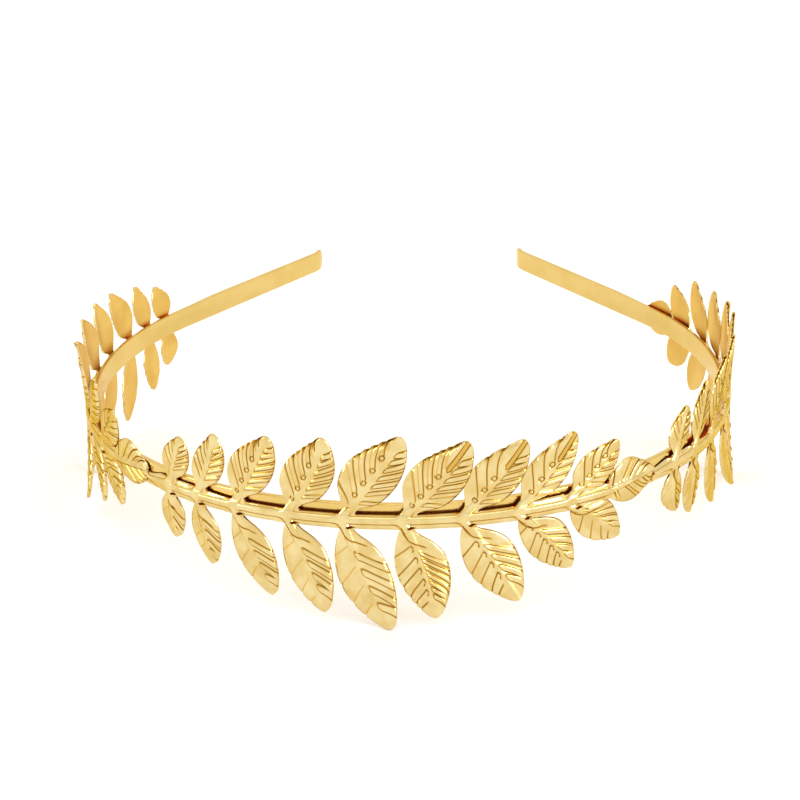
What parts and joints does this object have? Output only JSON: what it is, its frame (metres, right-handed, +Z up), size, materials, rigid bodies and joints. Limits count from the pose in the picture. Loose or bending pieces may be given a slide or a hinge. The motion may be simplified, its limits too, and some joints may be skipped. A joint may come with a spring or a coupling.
{
  "type": "leaf headband",
  "caption": "Gold-plated open metal headband: a flat strip bent to a U, with three stamped sprays of veined leaves around its outer face.",
  "frame": {"origin": "middle of the part's footprint, at the surface it stands on", "axes": "+X to the right of a viewer who faces the front, +Y from the front towards the open ends, +Z up"},
  "size_m": [0.1363, 0.1648, 0.035],
  "materials": {
    "gold_band": "satin gold plate",
    "gold_leaf": "polished gold plate"
  },
  "bodies": {
    "root": {"band": "gold_band", "left_spray": "gold_leaf", "front_spray": "gold_leaf", "right_spray": "gold_leaf"}
  },
  "joints": []
}
